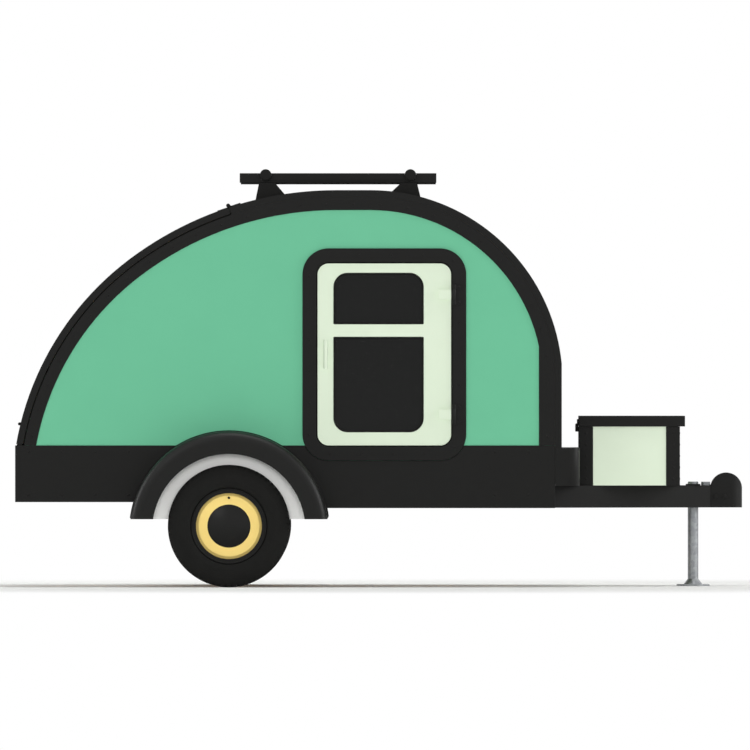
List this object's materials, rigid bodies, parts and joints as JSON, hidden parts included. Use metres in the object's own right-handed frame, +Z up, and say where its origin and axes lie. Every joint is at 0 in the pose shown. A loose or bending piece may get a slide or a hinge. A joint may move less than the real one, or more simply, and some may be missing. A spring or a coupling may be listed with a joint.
{
  "type": "camper trailer",
  "caption": "Teardrop camper trailer with a rounded sleeping cabin, side doors, lifting rear galley hatch, fenders, roof rack, drawbar box, ball coupler and prop stand.",
  "frame": {"origin": "on the ground under the middle of the overall box", "axes": "+X forward to the hitch, +Y to the street side (left), +Z up; the kerb side with the pictured door is -Y"},
  "size_m": [3.28, 1.84, 1.8809],
  "materials": {
    "green_wall": "satin",
    "black_panel": "satin",
    "black_sheet": "satin",
    "black_steel": "satin",
    "white_liner": "satin",
    "cream_door": "satin",
    "cream_sheet": "satin",
    "dark_glass": "polished",
    "plywood": "matte",
    "mattress_cloth": "matte",
    "zinc_steel": "satin",
    "lamp_red": "gloss",
    "tyre_rubber": "matte",
    "yellow_wheel": "satin",
    "black_cap": "satin"
  },
  "bodies": {
    "trailer": {"main_rails": "black_steel", "cross_members": "black_steel", "drawbar_rails": "black_steel", "coupler": "black_steel", "coupler_latch": "zinc_steel", "stand_sleeve": "black_steel", "axle_beam": "black_steel", "axle_arms": "black_steel", "fender_right": "black_sheet", "fender_left": "black_sheet", "splash_panels": "white_liner", "skirt_right": "black_sheet", "skirt_left": "black_sheet", "rear_valance": "black_panel", "tail_lamps": "lamp_red", "front_sill": "black_sheet", "floor_deck": "plywood", "side_wall_right": "green_wall", "side_wall_left": "green_wall", "edge_trim_right": "black_sheet", "edge_trim_left": "black_sheet", "roof_shell": "black_panel", "front_shell": "black_panel", "bulkheads": "plywood", "galley_counter": "plywood", "galley_front": "plywood", "galley_shelf": "plywood", "mattress": "mattress_cloth", "door_frame_right": "black_sheet", "door_frame_left": "black_sheet", "door_hinges": "black_steel", "hatch_hinge": "zinc_steel", "rack_feet": "black_cap", "rack_rails": "black_sheet", "rack_bars": "black_sheet", "tongue_box": "cream_sheet", "box_hinge": "black_steel", "box_corners": "black_sheet"},
    "hatch_panel": {"hatch": "black_panel", "hatch_knuckles": "zinc_steel", "hatch_bar": "zinc_steel"},
    "lid": {"box_lid": "black_sheet", "lid_hinge": "black_steel"},
    "stand": {"prop_stand": "zinc_steel"},
    "door_panel_right": {"door_right": "cream_door", "door_glass_right": "dark_glass", "door_handle_right": "cream_sheet"},
    "wheel_right": {"tyre_right": "tyre_rubber", "rim_right": "black_steel", "disc_right": "yellow_wheel", "cap_right": "black_cap", "hub_right": "zinc_steel"},
    "door_panel_left": {"door_left": "cream_door", "door_glass_left": "dark_glass", "door_handle_left": "cream_sheet"},
    "wheel_left": {"tyre_left": "tyre_rubber", "rim_left": "black_steel", "disc_left": "yellow_wheel", "cap_left": "black_cap", "hub_left": "zinc_steel"}
  },
  "joints": [
    {"name": "wheel_right_spin", "type": "hinge", "parent": "trailer", "child": "wheel_right", "pos_m": [-0.677, -0.8225, 0.275], "axis": [0, 1, 0], "continuous": true},
    {"name": "wheel_left_spin", "type": "hinge", "parent": "trailer", "child": "wheel_left", "pos_m": [-0.677, 0.8225, 0.275], "axis": [0, 1, 0], "continuous": true},
    {"name": "door_right_hinge", "type": "hinge", "parent": "trailer", "child": "door_panel_right", "pos_m": [0.336, -0.7203, 1.0465], "axis": [0, 0, 1], "range_deg": [0, 110]},
    {"name": "door_left_hinge", "type": "hinge", "parent": "trailer", "child": "door_panel_left", "pos_m": [0.336, 0.7203, 1.0465], "axis": [0, 0, -1], "range_deg": [0, 110]},
    {"name": "hatch_hinge", "type": "hinge", "parent": "trailer", "child": "hatch_panel", "pos_m": [-0.68181, 0, 1.71699], "axis": [0, 1, 0], "range_deg": [0, 80]},
    {"name": "box_lid_hinge", "type": "hinge", "parent": "trailer", "child": "lid", "pos_m": [0.8937, 0, 0.7283], "axis": [0, -1, 0], "range_deg": [0, 90]},
    {"name": "stand_slide", "type": "slide", "parent": "trailer", "child": "stand", "axis": [0, 0, 1], "range_m": [0, 0.2]}
  ]
}
